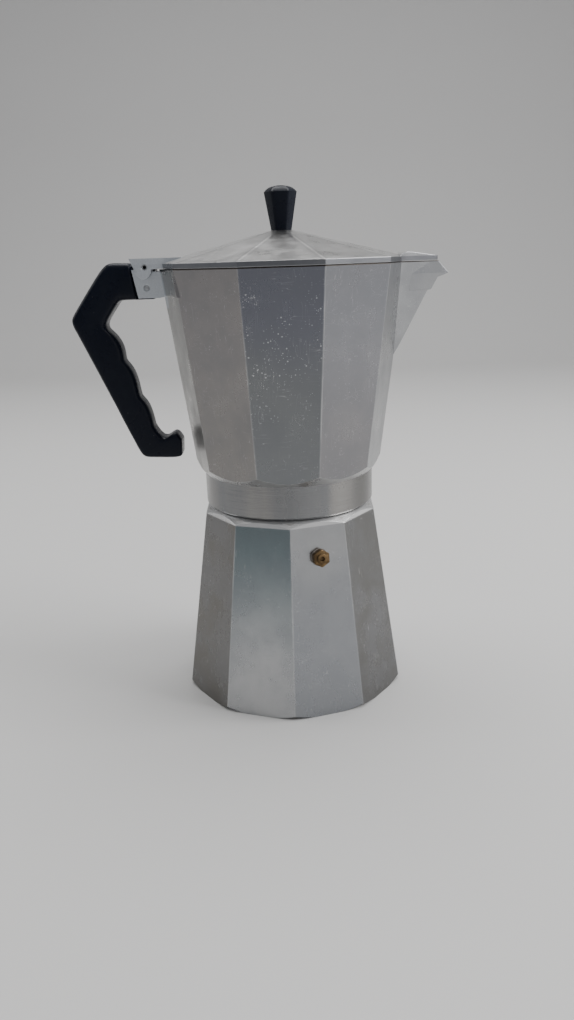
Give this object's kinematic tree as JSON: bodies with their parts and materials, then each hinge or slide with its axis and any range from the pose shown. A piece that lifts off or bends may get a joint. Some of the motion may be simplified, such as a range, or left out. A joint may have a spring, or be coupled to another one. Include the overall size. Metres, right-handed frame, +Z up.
{
  "type": "moka pot",
  "caption": "Ten-sided cast stovetop coffee pot in two screwed halves, with hinged lid, spout, moulded handle, filter funnel and safety valve.",
  "frame": {"origin": "on the pot's axis, at the face that rests on the stove", "axes": "+Z up, +X towards the spout, -X towards the handle"},
  "size_m": [0.2125, 0.1352, 0.29],
  "materials": {
    "cast_body": "satin, worn",
    "cast_upper": "satin, worn, collar brushed",
    "cast_lid": "satin",
    "spun_funnel": "bright spun",
    "punched_plate": "bright stamped",
    "column": "as cast",
    "valve_brass": "aged",
    "valve_steel": "drawn",
    "pin_steel": "dull",
    "insert_brass": "turned",
    "black_handle": "satin moulded",
    "black_knob": "satin moulded",
    "gasket_rubber": "matt",
    "fibre": "pressed fibre"
  },
  "bodies": {
    "boiler": {"boiler": "cast_body", "valve_body": "valve_brass", "valve_washer": "fibre", "valve_seat": "valve_brass", "valve_spring": "valve_steel"},
    "plunger": {"valve_plunger": "valve_steel"},
    "funnel": {"funnel_cup": "spun_funnel", "funnel_tube": "spun_funnel", "funnel_screen": "punched_plate"},
    "upper": {"collector": "cast_upper", "gasket": "gasket_rubber", "filter_plate": "punched_plate", "column": "column", "column_cap": "column", "handle": "black_handle", "handle_pin": "pin_steel", "hinge_pin": "pin_steel"},
    "lid": {"lid": "cast_lid", "knob": "black_knob", "knob_insert": "insert_brass", "knob_washer": "pin_steel", "knob_screw": "pin_steel"}
  },
  "joints": [
    {"name": "screw_lift", "type": "slide", "parent": "boiler", "child": "funnel", "axis": [0, 0, 1], "range_m": [0, 0.0079]},
    {"name": "screw_turn", "type": "hinge", "parent": "funnel", "child": "upper", "pos_m": [0, 0, 0.118], "axis": [0, 0, 1], "range_deg": [0, 630]},
    {"name": "lid_hinge", "type": "hinge", "parent": "upper", "child": "lid", "pos_m": [-0.0755, 0, 0.24956], "axis": [0, -1, 0], "range_deg": [0, 120]},
    {"name": "valve_slide", "type": "slide", "parent": "boiler", "child": "plunger", "axis": [0.3061, -0.9419, 0.1382], "range_m": [0, 0.0012], "stiffness_N_per_m": 1500, "springref_m": -0.001, "deforming": ["valve_spring"]}
  ],
  "couplings": [
    {"joint": "screw_lift", "follows": "screw_turn", "m_per_rad": 0.0007162}
  ]
}
